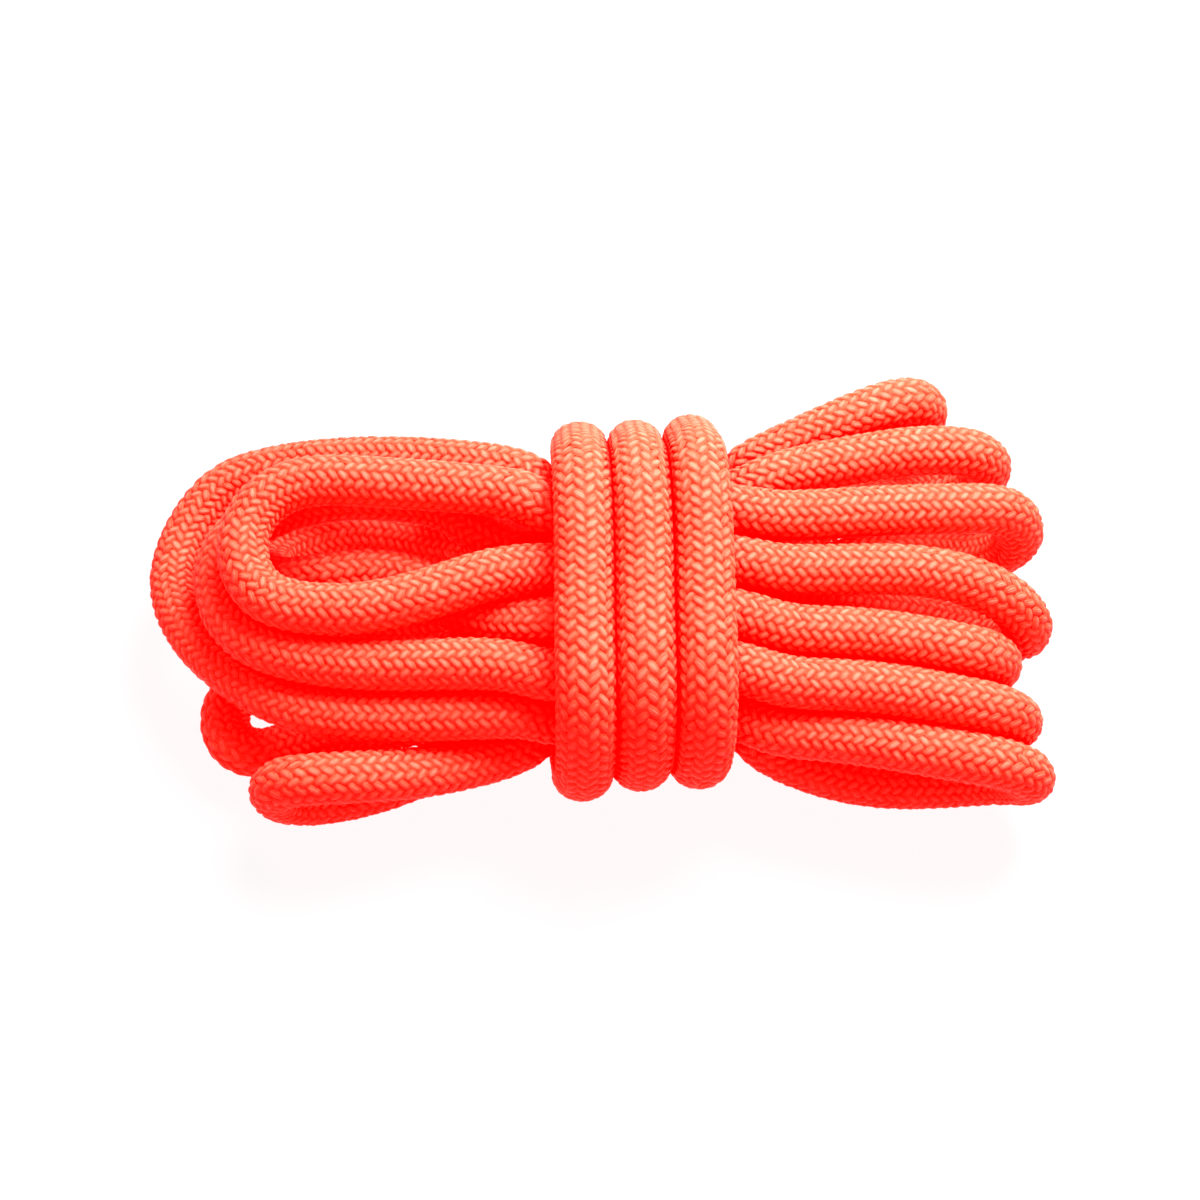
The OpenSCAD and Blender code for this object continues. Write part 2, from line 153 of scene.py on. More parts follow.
def addNode(tree, kind, inputs=None, **settings):
    # an input is given a plain value, a socket, or a node, of which it takes the first output;
    # Mix has its factor at 0, numbers at 2 and 3, vectors at 4 and 5, colours at 6 and 7
    node = tree.nodes.new(kind)
    for name, value in settings.items():
        setattr(node, name, value)
    for socket, value in (inputs or {}).items():
        if isinstance(value, bpy.types.Node):
            value = value.outputs[0]
        if isinstance(value, bpy.types.NodeSocket):
            tree.links.new(value, node.inputs[socket])
        else:
            node.inputs[socket].default_value = value
    return node


def placeCamera(view):
    up = math.radians(view["elevation"])
    back = Vector((0, -math.cos(up), math.sin(up)))
    data = bpy.data.cameras.new("hankCamera")
    data.sensor_width = view["sensorWidth"]
    focalPixels = view["pixelsPerMm"] * view["distance"] / mm
    data.lens = data.sensor_width * focalPixels / view["framePixels"]
    data.shift_y = (view["targetRow"] - view["framePixels"] / 2) / view["framePixels"]
    data.clip_start, data.clip_end = view["clip"]
    camera = bpy.data.objects.new("hankCamera", data)
    camera.location = Vector(view["target"]) + back * view["distance"]
    camera.rotation_euler = (math.pi / 2 - up, 0, 0)
    scene.collection.objects.link(camera)
    scene.camera = camera


placeCamera(cameraView)
print("camera placed")


def legPoints(leg, route):
    y, z = leg
    middle = route["bundleHeight"]
    return [(x, k * y + dy, middle + k * (z - middle) + dz) for x, k, dy, dz in route["legDrift"]]


def wrapPoints(number, route):
    k, dy, dz, count = route["wrapFit"][number]
    place = route["firstWrapX"] + route["wrapPitch"] * number
    middle = route["bundleHeight"]
    return [
        (place + x, k * y + dy, middle + k * (z - middle) + dz)
        for x, y, z in route["wrapTurn"][:count]
    ]


def listRoute(route):
    def right(row, number):
        return legPoints(route[row][number], route)

    def left(row, number):
        return right(row, number)[::-1]

    # the order in which the rope runs: a leg to the right, a bight, a leg to the left, a loop
    stretches = [
        route["startRun"], right("lowLegs", 2),
        route["bight3"], left("topLegs", 0), route["loopB"], right("topLegs", 1),
        route["bight4"], left("midLegs", 2), route["loopE"], right("midLegs", 3),
        route["bight6"], left("topLegs", 3), route["loopC"], right("midLegs", 1),
        route["bight2"], left("midLegs", 0), route["loopA"], right("midLegs", 4),
        route["bight7"], left("lowLegs", 4), route["loopF"], right("lowLegs", 3),
        route["bight5"], left("topLegs", 2), route["loopD"], right("lowLegs", 1),
        route["bight1"], left("lowLegs", 0), route["wrapEntry"],
    ]
    points = [point for stretch in stretches for point in stretch]
    firstWrap = len(points)
    for number in range(len(route["wrapFit"])):
        points += wrapPoints(number, route)
    points += route["finishRun"]
    return np.array(points, float) + route["shift"], firstWrap


def smoothCurve(points, steps):
    # a uniform cubic B-spline whose controls stand out by a sixth of the bend
    controls = points.copy()
    controls[1:-1] -= (points[:-2] - 2 * points[1:-1] + points[2:]) / 6
    ends = [2 * controls[0] - controls[1], 2 * controls[-1] - controls[-2]]
    controls = np.vstack([ends[0], controls, ends[1]])
    line = []
    for span in range(len(points) - 1):
        a, b, c, d = controls[span : span + 4]
        for t in np.arange(steps) / steps:
            line.append(
                ((1 - t) ** 3 * a + (3 * t**3 - 6 * t * t + 4) * b
                 + (-3 * t**3 + 3 * t * t + 3 * t + 1) * c + t**3 * d) / 6
            )
    line.append(points[-1])
    return np.array(line)


ropeSizes = {
    "diameter": 9.8 * mm,  # over the crowns of the braid
    "underRadius": 4.3 * mm,  # the yarns' lower layer, seen between the floats
    "curveSteps": 10,  # line points from one route point to the next
    "tubeSides": 24,
    "tubeStep": 1.6 * mm,  # from ring to ring
}

# The wraps are pressed flatter where they cross the bundle, the first one the most.
pressedWraps = {
    "wide": (1.13, 1.11, 1.11),  # of the rope's own width, along the hank
    "low": (0.94, 0.95, 0.95),  # of its height off the bundle
    "firstPoint": 0.5,  # points of each wrap
    "lastPoint": 16.5,
    "blend": 12 * mm,
}

knots, firstWrap = listRoute(routePoints)
ropeLine = smoothCurve(knots, ropeSizes["curveSteps"])
lineLengths = np.concatenate([[0], np.cumsum(np.linalg.norm(np.diff(ropeLine, axis=0), axis=1))])
ropeLength = float(lineLengths[-1])
print("rope line laid,", round(ropeLength, 3), "m")


def lengthAtKnot(knot):
    return float(np.interp(knot * ropeSizes["curveSteps"], np.arange(len(ropeLine)), lineLengths))


def makeLineObject(points):
    data = bpy.data.curves.new("ropeLine", "CURVE")
    data.dimensions = "3D"
    spline = data.splines.new("POLY")
    spline.points.add(len(points) - 1)
    spline.points.foreach_set("co", np.hstack([points, np.ones((len(points), 1))]).ravel())
    line = bpy.data.objects.new("ropeLine", data)
    scene.collection.objects.link(line)
    return line


def startTree(name, inputs, output="NodeSocketGeometry", outputName="Rope"):
    tree = bpy.data.node_groups.new(name, "GeometryNodeTree")
    for inputName, kind in inputs:
        tree.interface.new_socket(inputName, in_out="INPUT", socket_type=kind)
    tree.interface.new_socket(outputName, in_out="OUTPUT", socket_type=output)
    return tree, addNode(tree, "NodeGroupInput").outputs


def makePressGroup(press):
    # widens and lowers what stands off the line where a wrap crosses the bundle
    tree, given = startTree(
        "pressOnBundle",
        [("Offset", "NodeSocketVector"), ("Along", "NodeSocketFloat")],
        "NodeSocketVector", "Offset",
    )
    offset, along = given["Offset"], given["Along"]
    knot = firstWrap
    for wide, low, (*_, count) in zip(press["wide"], press["low"], routePoints["wrapFit"]):
        start = lengthAtKnot(knot + press["firstPoint"])
        end = lengthAtKnot(knot + press["lastPoint"])
        knot += count
        rise = addNode(tree, "ShaderNodeMapRange",
            {"Value": along, "From Min": start, "From Max": start + press["blend"]},
            interpolation_type="SMOOTHSTEP")
        fall = addNode(tree, "ShaderNodeMapRange",
            {"Value": along, "From Min": end - press["blend"], "From Max": end,
             "To Min": 1.0, "To Max": 0.0}, interpolation_type="SMOOTHSTEP")
        share = addNode(tree, "ShaderNodeMath", {0: rise, 1: fall}, operation="MULTIPLY")
        pressed = addNode(tree, "ShaderNodeVectorMath", {0: offset, 1: (wide, low, low)},
            operation="MULTIPLY")
        mixed = addNode(tree, "ShaderNodeMix",
            {0: share, 4: offset, 5: pressed}, data_type="VECTOR")
        offset = mixed.outputs[1]
    addNode(tree, "NodeGroupOutput", {0: offset})
    return tree


def makeRollGroup(pressGroup):
    # rolls a flat strip round the rope: x goes round it, y along it and z out from the weave
    tree, given = startTree(
        "rollOnRope",
        [("Strip", "NodeSocketGeometry"), ("Line", "NodeSocketGeometry"),
         ("Radius", "NodeSocketFloat")],
    )
    place = addNode(tree, "GeometryNodeInputPosition")
    flat = addNode(tree, "ShaderNodeSeparateXYZ", {0: place}).outputs
    sample = addNode(tree, "GeometryNodeSampleCurve",
        {"Curves": given["Line"], "Length": flat["Y"]}, mode="LENGTH").outputs
    beside = addNode(tree, "ShaderNodeVectorMath",
        {0: sample["Tangent"], 1: sample["Normal"]}, operation="CROSS_PRODUCT")
    angle = addNode(tree, "ShaderNodeMath", {0: flat["X"], 1: given["Radius"]}, operation="DIVIDE")
    cosine = addNode(tree, "ShaderNodeMath", {0: angle}, operation="COSINE")
    sine = addNode(tree, "ShaderNodeMath", {0: angle}, operation="SINE")
    out = addNode(tree, "ShaderNodeMath", {0: flat["Z"], 1: given["Radius"]}, operation="ADD")
    up = addNode(tree, "ShaderNodeVectorMath",
        {0: sample["Normal"], "Scale": cosine}, operation="SCALE")
    across = addNode(tree, "ShaderNodeVectorMath",
        {0: beside, "Scale": sine}, operation="SCALE")
    direction = addNode(tree, "ShaderNodeVectorMath", {0: up, 1: across}, operation="ADD")
    offset = addNode(tree, "ShaderNodeVectorMath",
        {0: direction, "Scale": out}, operation="SCALE")
    pressed = addNode(tree, "GeometryNodeGroup", {"Offset": offset, "Along": flat["Y"]},
        node_tree=pressGroup)
    final = addNode(tree, "ShaderNodeVectorMath", {0: sample["Position"], 1: pressed},
        operation="ADD")
    moved = addNode(tree, "GeometryNodeSetPosition",
        {"Geometry": given["Strip"], "Position": final})
    addNode(tree, "NodeGroupOutput", {0: moved})
    return tree


def makeTubeTree(pressGroup, material):
    tree, given = startTree(
        "underLayerTube",
        [("Geometry", "NodeSocketGeometry"), ("Line", "NodeSocketObject"),
         ("Radius", "NodeSocketFloat"), ("Sides", "NodeSocketInt"), ("Step", "NodeSocketFloat")],
    )
    line = addNode(tree, "GeometryNodeObjectInfo", {"Object": given["Line"]})
    even = addNode(tree, "GeometryNodeResampleCurve",
        {"Curve": line.outputs["Geometry"], "Length": given["Step"]}, mode="LENGTH")
    middle = addNode(tree, "GeometryNodeInputPosition")
    along = addNode(tree, "GeometryNodeSplineParameter")
    keptMiddle = addNode(tree, "GeometryNodeStoreNamedAttribute",
        {"Geometry": even, "Name": "ropeMiddle", "Value": middle},
        data_type="FLOAT_VECTOR", domain="POINT")
    keptAlong = addNode(tree, "GeometryNodeStoreNamedAttribute",
        {"Geometry": keptMiddle, "Name": "ropeAlong", "Value": along.outputs["Length"]},
        data_type="FLOAT", domain="POINT")
    ring = addNode(tree, "GeometryNodeCurvePrimitiveCircle",
        {"Resolution": given["Sides"], "Radius": given["Radius"]}, mode="RADIUS")
    tube = addNode(tree, "GeometryNodeCurveToMesh",
        {"Curve": keptAlong, "Profile Curve": ring, "Fill Caps": True})
    readMiddle = addNode(tree, "GeometryNodeInputNamedAttribute", {"Name": "ropeMiddle"},
        data_type="FLOAT_VECTOR")
    readAlong = addNode(tree, "GeometryNodeInputNamedAttribute", {"Name": "ropeAlong"},
        data_type="FLOAT")
    place = addNode(tree, "GeometryNodeInputPosition")
    offset = addNode(tree, "ShaderNodeVectorMath", {0: place, 1: readMiddle},
        operation="SUBTRACT")
    pressed = addNode(tree, "GeometryNodeGroup", {"Offset": offset, "Along": readAlong},
        node_tree=pressGroup)
    final = addNode(tree, "ShaderNodeVectorMath", {0: readMiddle, 1: pressed}, operation="ADD")
    moved = addNode(tree, "GeometryNodeSetPosition", {"Geometry": tube, "Position": final})
    smooth = addNode(tree, "GeometryNodeSetShadeSmooth", {0: moved})
    real = addNode(tree, "GeometryNodeRealizeInstances", {0: smooth})
    dressed = addNode(tree, "GeometryNodeSetMaterial", {"Geometry": real, "Material": material})
    addNode(tree, "NodeGroupOutput", {0: dressed})
    return tree


def runTree(name, tree, inputs):
    # a plain mesh piece from what the tree makes; the modifier goes with its holder
    holder = bpy.data.objects.new(name + "Maker", bpy.data.meshes.new(name + "Maker"))
    scene.collection.objects.link(holder)
    maker = holder.modifiers.new("maker", "NODES")
    maker.node_group = tree
    for item in tree.interface.items_tree:
        if item.in_out == "INPUT" and item.name in inputs:
            maker[item.identifier] = inputs[item.name]
    evaluated = holder.evaluated_get(bpy.context.evaluated_depsgraph_get())
    mesh = bpy.data.meshes.new_from_object(evaluated)
    bpy.data.objects.remove(holder)
    mesh.name = name
    piece = bpy.data.objects.new(name, mesh)
    scene.collection.objects.link(piece)
    return piece


# Dope-dyed fluorescent polyamide yarn, heat-set in the braid: saturated coral with a silky
# gloss on each float, a painted pale highlight on each float's ridge, painted deep red shade
# where strands close in, and a painted red glow, so that the deep gaps stay red and not black.
yarnLook = {
    # crown: the pale colour of the painted highlight on each float's ridge; flank: the float's own
    # coral
    "crown": "#FFB897",
    "flank": "#FF643B",
    # under: a darker red painted on the layer in the slits between floats, as shade there
    "under": "#FF2C12",
    "deep": "#E00000",  # painted shade: the deep red put in where neighbouring strands close a place in
    "paintedShadeReach": 20 * mm,  # how near the neighbours are that close a place in
    "deepFrom": 0.35,  # share of open sky above a place, from all painted shade to none
    "paintedShadeTo": 0.52,
    "paintedShadeSamples": 6,
    # painted red glow: the yarn gives off red light of its own, so that no gap goes black
    "glow": "#FF0000",
    "paintedGlowStrength": 0.9,
    "roughness": 0.5,
    "roughnessSpread": (-0.05, 0.07),  # from the smoothest float to the roughest
    "specular": 0.25,
    "ior": 1.53,
    "highlightNarrowing": 2.2,  # the painted highlight on the ridge fades faster across a float than along it
    "highlightReach": 0.21,  # where it ends: the square of the distance from the middle, in floats
    "highlightLeast": 0.5,  # its strength on the dullest float
    "filaments": 5,  # ridges across a float; a real filament is 0.03 mm, drawn coarser to show
    "filamentDepth": 0.03 * mm,
    "reliefStrength": 0.8,
    "fuzz": 0.5 * mm,  # size of the bright and dull spots that stray filaments make
    "fuzzRange": (0.36, 0.64),  # of the noise, from all dull to all bright
    "fuzzDepth": 1.5,  # of a filament's depth
    "fuzzShare": 0.2,  # of the colour, beside the ridges
    "underGrain": 0.9 * mm,
    "cells": 8,  # shades are picked from a square of cells x cells
}


def startMaterial(name):
    material = bpy.data.materials.new(name)
    material.use_nodes = True
    tree = material.node_tree
    tree.nodes.clear()
    shader = addNode(tree, "ShaderNodeBsdfPrincipled")
    addNode(tree, "ShaderNodeOutputMaterial", {0: shader})
    return material, tree, shader


def addPaintedShade(tree, colour, roughness, shader, look):
    # painted shade: places that neighbouring strands close in are painted deep red, and turn dull
    sky = addNode(tree, "ShaderNodeAmbientOcclusion", {"Distance": look["paintedShadeReach"]},
        samples=look["paintedShadeSamples"])
    openness = addNode(tree, "ShaderNodeMapRange",
        {"Value": sky.outputs["AO"], "From Min": look["deepFrom"], "From Max": look["paintedShadeTo"]},
        interpolation_type="SMOOTHSTEP")
    mixed = addNode(tree, "ShaderNodeMix",
        {0: openness, 6: hexColour(look["deep"]), 7: colour}, data_type="RGBA")
    dulled = addNode(tree, "ShaderNodeMapRange",
        {"Value": openness, "To Min": 1.0, "To Max": roughness})
    tree.links.new(mixed.outputs[2], shader.inputs["Base Color"])
    tree.links.new(dulled.outputs[0], shader.inputs["Roughness"])
    shader.inputs["Specular IOR Level"].default_value = look["specular"]


def makeYarnMaterial(look):
    material, tree, shader = startMaterial("fluorescent_polyamide_yarn_braided")
    uv = addNode(tree, "ShaderNodeUVMap", uv_map="yarnUv")
    cells = addNode(tree, "ShaderNodeVectorMath",
        {0: uv, "Scale": float(look["cells"])}, operation="SCALE")
    cell = addNode(tree, "ShaderNodeVectorMath", {0: cells}, operation="FLOOR")
    inCell = addNode(tree, "ShaderNodeVectorMath", {0: cells}, operation="FRACTION")
    across = addNode(tree, "ShaderNodeSeparateXYZ", {0: inCell})
    shade = addNode(tree, "ShaderNodeTexWhiteNoise", {"Vector": cell}, noise_dimensions="2D")
    # painted highlight: 1 on the float's ridge, 0 at its edges and tips
    fromMiddle = addNode(tree, "ShaderNodeVectorMath", {0: inCell, 1: (0.5, 0.5, 0)},
        operation="SUBTRACT")
    squared = addNode(tree, "ShaderNodeVectorMath", {0: fromMiddle, 1: fromMiddle},
        operation="MULTIPLY")
    squares = addNode(tree, "ShaderNodeSeparateXYZ", {0: squared}).outputs
    edge = addNode(tree, "ShaderNodeMath",
        {0: squares["Y"], 1: look["highlightNarrowing"], 2: squares["X"]}, operation="MULTIPLY_ADD")
    paintedHighlightMask = addNode(tree, "ShaderNodeMapRange",
        {"Value": edge, "From Min": 0.0, "From Max": look["highlightReach"], "To Min": 1.0,
         "To Max": 0.0}, interpolation_type="SMOOTHSTEP")
    varied = addNode(tree, "ShaderNodeMapRange",
        {"Value": shade.outputs["Value"], "To Min": look["highlightLeast"]})
    ridge = addNode(tree, "ShaderNodeMath", {0: paintedHighlightMask, 1: varied}, operation="MULTIPLY")
    where = addNode(tree, "ShaderNodeTexCoord")
    fibres = addNode(tree, "ShaderNodeTexNoise",
        {"Vector": where.outputs["Object"], "Scale": 1 / look["fuzz"], "Detail": 2.0})
    fuzz = addNode(tree, "ShaderNodeMapRange",
        {"Value": fibres, "From Min": look["fuzzRange"][0], "From Max": look["fuzzRange"][1]})
    # how far each place goes from the float's coral to the painted highlight colour, with the
    # random fuzz spots mixed in
    amount = addNode(tree, "ShaderNodeMix", {0: look["fuzzShare"], 2: ridge, 3: fuzz})
    colour = addNode(tree, "ShaderNodeMix",
        {0: amount, 6: hexColour(look["flank"]), 7: hexColour(look["crown"])}, data_type="RGBA")
    turns = addNode(tree, "ShaderNodeMath",
        {0: across.outputs["Y"], 1: 2 * math.pi * look["filaments"]}, operation="MULTIPLY")
    ridges = addNode(tree, "ShaderNodeMath", {0: turns}, operation="COSINE")
    relief = addNode(tree, "ShaderNodeMath",
        {0: fuzz, 1: look["fuzzDepth"], 2: ridges}, operation="MULTIPLY_ADD")
    bump = addNode(tree, "ShaderNodeBump",
        {"Height": relief, "Distance": look["filamentDepth"],
         "Strength": look["reliefStrength"]})
    smoothest, roughest = (look["roughness"] + step for step in look["roughnessSpread"])
    gloss = addNode(tree, "ShaderNodeMapRange",
        {"Value": shade.outputs["Value"], "To Min": smoothest, "To Max": roughest})
    addPaintedShade(tree, colour.outputs[2], gloss.outputs[0], shader, look)
    tree.links.new(bump.outputs[0], shader.inputs["Normal"])
    shader.inputs["IOR"].default_value = look["ior"]
    shader.inputs["Emission Color"].default_value = hexColour(look["glow"])
    shader.inputs["Emission Strength"].default_value = look["paintedGlowStrength"]
    return material


# The same yarn where it dives under the floats: without ridges, as only slits show, and painted
# redder as shade in those slits.
def makeUnderMaterial(look):
    material, tree, shader = startMaterial("fluorescent_polyamide_yarn_under_layer")
    where = addNode(tree, "ShaderNodeTexCoord")
    grain = addNode(tree, "ShaderNodeTexNoise",
        {"Vector": where.outputs["Object"], "Scale": 1 / look["underGrain"], "Detail": 2.0})
    colour = addNode(tree, "ShaderNodeMix",
        {0: grain, 6: hexColour(look["under"]), 7: hexColour(look["flank"])}, data_type="RGBA")
    addPaintedShade(tree, colour.outputs[2], look["roughness"], shader, look)
    shader.inputs["Emission Color"].default_value = hexColour(look["glow"])
    shader.inputs["Emission Strength"].default_value = look["paintedGlowStrength"]
    return material


yarnMaterial = makeYarnMaterial(yarnLook)
underMaterial = makeUnderMaterial(yarnLook)

ropeLineObject = makeLineObject(ropeLine)
pressGroup = makePressGroup(pressedWraps)
rollGroup = makeRollGroup(pressGroup)
underLayer = runTree("sheath_under_layer", makeTubeTree(pressGroup, underMaterial), {
    "Line": ropeLineObject,
    "Radius": ropeSizes["underRadius"],
    "Sides": ropeSizes["tubeSides"],
    "Step": ropeSizes["tubeStep"],
})
print("under layer made,", len(underLayer.data.polygons), "faces")


# A 32-carrier braid, two over and two under: 16 columns of floats round the rope, which lean
# left and right in turn, each column half a float ahead of the next.
braidSizes = {
    "columns": 16,
    "floatSpacing": 2.1 * mm,  # along the rope
    "weaveRadius": 4.62 * mm,
    "crown": 0.24 * mm,  # above the weave radius
    "sink": 0.25 * mm,  # below it, at a float's edges
    "floatLength": 2.8 * mm,
    "floatWidth": 1.72 * mm,
    "taper": 0.4,  # of the width, at the tips
    "edgeDrop": 0.92,  # of its height, at its long edges
    "patchPoints": (7, 5),  # of a float's mesh, along and across it
    "mapMargin": 0.02,  # of a shade cell, left clear round the float's own map
    "unevenness": 0.1,  # of a float's size
    "roll": 0.14,  # radians that a float lies out of true
    "lean": math.radians(46),  # of a float from the rope's line
    "bareRows": 0.6,  # of floats, left out at each end of the rope
    "seed": 7,
    "sections": 7,  # pieces that the braid is made in
}


def makeFloatTree(sizes, rollGroup, material):
    tree, given = startTree(
        "braidFloats",
        [("Geometry", "NodeSocketGeometry"), ("Line", "NodeSocketObject"),
         ("Columns", "NodeSocketInt"), ("First Row", "NodeSocketInt"), ("Rows", "NodeSocketInt"),
         ("Float Spacing", "NodeSocketFloat"), ("Weave Radius", "NodeSocketFloat"),
         ("Float Length", "NodeSocketFloat"), ("Float Width", "NodeSocketFloat"),
         ("Crown", "NodeSocketFloat"), ("Sink", "NodeSocketFloat"), ("Taper", "NodeSocketFloat"),
         ("Unevenness", "NodeSocketFloat"), ("Roll", "NodeSocketFloat"),
         ("Lean", "NodeSocketFloat"), ("Seed", "NodeSocketInt")],
    )

    # one float: a crowned patch, with a along the yarn and b across it, both from -1 to 1
    patch = addNode(tree, "GeometryNodeMeshGrid",
        {"Size X": 2.0, "Size Y": 2.0, "Vertices X": sizes["patchPoints"][0],
         "Vertices Y": sizes["patchPoints"][1]})
    place = addNode(tree, "GeometryNodeInputPosition")
    ab = addNode(tree, "ShaderNodeSeparateXYZ", {0: place}).outputs
    aSquare = addNode(tree, "ShaderNodeMath", {0: ab["X"], 1: ab["X"]}, operation="MULTIPLY")
    bSquare = addNode(tree, "ShaderNodeMath", {0: ab["Y"], 1: ab["Y"]}, operation="MULTIPLY")
    aFourth = addNode(tree, "ShaderNodeMath", {0: aSquare, 1: aSquare}, operation="MULTIPLY")
    tipLoss = addNode(tree, "ShaderNodeMath", {0: given["Taper"], 1: aSquare},
        operation="MULTIPLY")
    narrowing = addNode(tree, "ShaderNodeMath", {0: 1.0, 1: tipLoss}, operation="SUBTRACT")
    halfLength = addNode(tree, "ShaderNodeMath", {0: given["Float Length"], 1: 0.5},
        operation="MULTIPLY")
    halfWidth = addNode(tree, "ShaderNodeMath", {0: given["Float Width"], 1: 0.5},
        operation="MULTIPLY")
    along = addNode(tree, "ShaderNodeMath", {0: ab["X"], 1: halfLength}, operation="MULTIPLY")
    straight = addNode(tree, "ShaderNodeMath", {0: ab["Y"], 1: halfWidth}, operation="MULTIPLY")
    across = addNode(tree, "ShaderNodeMath", {0: straight, 1: narrowing}, operation="MULTIPLY")
    endRound = addNode(tree, "ShaderNodeMath", {0: 1.0, 1: aFourth}, operation="SUBTRACT")
    edgeLoss = addNode(tree, "ShaderNodeMath", {0: bSquare, 1: sizes["edgeDrop"]},
        operation="MULTIPLY")
    sideRound = addNode(tree, "ShaderNodeMath", {0: 1.0, 1: edgeLoss}, operation="SUBTRACT")
    roundness = addNode(tree, "ShaderNodeMath", {0: endRound, 1: sideRound},
        operation="MULTIPLY")
    depth = addNode(tree, "ShaderNodeMath", {0: given["Crown"], 1: given["Sink"]},
        operation="ADD")
    raised = addNode(tree, "ShaderNodeMath", {0: roundness, 1: depth}, operation="MULTIPLY")
    height = addNode(tree, "ShaderNodeMath", {0: raised, 1: given["Sink"]},
        operation="SUBTRACT")
    shape = addNode(tree, "ShaderNodeCombineXYZ", {0: along, 1: across, 2: height})
    shaped = addNode(tree, "GeometryNodeSetPosition",
        {"Geometry": patch.outputs["Mesh"], "Position": shape})
    # the float's own map fits one shade cell, and is moved to the cell picked for it below
    cells = float(yarnLook["cells"])
    margin = sizes["mapMargin"]
    inner = addNode(tree, "ShaderNodeVectorMath",
        {0: patch.outputs["UV Map"], 1: (1 - 2 * margin, 1 - 2 * margin, 0),
         2: (margin, margin, 0)}, operation="MULTIPLY_ADD")
    small = addNode(tree, "ShaderNodeVectorMath", {0: inner, "Scale": 1 / cells},
        operation="SCALE")
    mapped = addNode(tree, "GeometryNodeStoreNamedAttribute",
        {"Geometry": shaped, "Name": "yarnUv", "Value": small},
        data_type="FLOAT2", domain="CORNER")

    # where each float sits on the flat strip, and which way it leans
    index = addNode(tree, "GeometryNodeInputIndex")
    column = addNode(tree, "ShaderNodeMath", {0: index, 1: given["Columns"]},
        operation="FLOORED_MODULO")
    turns = addNode(tree, "ShaderNodeMath", {0: index, 1: given["Columns"]}, operation="DIVIDE")
    wholeTurns = addNode(tree, "ShaderNodeMath", {0: turns}, operation="FLOOR")
    row = addNode(tree, "ShaderNodeMath", {0: wholeTurns, 1: given["First Row"]},
        operation="ADD")
    odd = addNode(tree, "ShaderNodeMath", {0: column, 1: 2.0}, operation="FLOORED_MODULO")
    girth = addNode(tree, "ShaderNodeMath", {0: given["Weave Radius"], 1: 2 * math.pi},
        operation="MULTIPLY")
    columnWidth = addNode(tree, "ShaderNodeMath", {0: girth, 1: given["Columns"]},
        operation="DIVIDE")
    x = addNode(tree, "ShaderNodeMath", {0: column, 1: columnWidth}, operation="MULTIPLY")
    rowPlace = addNode(tree, "ShaderNodeMath", {0: row, 1: sizes["bareRows"]}, operation="ADD")
    ahead = addNode(tree, "ShaderNodeMath", {0: odd, 1: 0.5, 2: rowPlace},
        operation="MULTIPLY_ADD")
    y = addNode(tree, "ShaderNodeMath", {0: ahead, 1: given["Float Spacing"]},
        operation="MULTIPLY")
    spot = addNode(tree, "ShaderNodeCombineXYZ", {0: x, 1: y})
    count = addNode(tree, "ShaderNodeMath", {0: given["Rows"], 1: given["Columns"]},
        operation="MULTIPLY")
    points = addNode(tree, "GeometryNodePoints", {"Count": count, "Position": spot})
    side = addNode(tree, "ShaderNodeMath", {0: odd, 1: 2.0, 2: -1.0}, operation="MULTIPLY_ADD")
    turn = addNode(tree, "ShaderNodeMath", {0: given["Lean"], 1: side, 2: math.pi / 2},
        operation="MULTIPLY_ADD")

    # no two floats are quite alike: each has a number of its own for its random draws
    number = addNode(tree, "ShaderNodeMath",
        {0: given["First Row"], 1: given["Columns"], 2: index}, operation="MULTIPLY_ADD")
    least = addNode(tree, "ShaderNodeMath", {0: 1.0, 1: given["Unevenness"]},
        operation="SUBTRACT")
    most = addNode(tree, "ShaderNodeMath", {0: 1.0, 1: given["Unevenness"]}, operation="ADD")
    scale = addNode(tree, "FunctionNodeRandomValue",
        {0: least, 1: most, "ID": number, "Seed": given["Seed"]}, data_type="FLOAT_VECTOR")
    rollBack = addNode(tree, "ShaderNodeMath", {0: given["Roll"], 1: -1.0},
        operation="MULTIPLY")
    rollSeed = addNode(tree, "ShaderNodeMath", {0: given["Seed"], 1: 2.0}, operation="ADD")
    roll = addNode(tree, "FunctionNodeRandomValue",
        {0: rollBack, 1: given["Roll"], "ID": number, "Seed": rollSeed},
        data_type="FLOAT_VECTOR")
    trueTurn = addNode(tree, "ShaderNodeCombineXYZ", {2: turn})
    rotation = addNode(tree, "ShaderNodeVectorMath", {0: trueTurn, 1: roll}, operation="ADD")
    floats = addNode(tree, "GeometryNodeInstanceOnPoints",
        {"Points": points, "Instance": mapped, "Rotation": rotation, "Scale": scale})
    cellSeed = addNode(tree, "ShaderNodeMath", {0: given["Seed"], 1: 1.0}, operation="ADD")
    pick = addNode(tree, "FunctionNodeRandomValue",
        {0: (0, 0, 0), 1: (cells, cells, 0), "ID": number, "Seed": cellSeed},
        data_type="FLOAT_VECTOR")
    cell = addNode(tree, "ShaderNodeVectorMath", {0: pick}, operation="FLOOR")
    corner = addNode(tree, "ShaderNodeVectorMath", {0: cell, "Scale": 1 / cells},
        operation="SCALE")
    picked = addNode(tree, "GeometryNodeStoreNamedAttribute",
        {"Geometry": floats, "Name": "shadeCell", "Value": corner},
        data_type="FLOAT_VECTOR", domain="INSTANCE")
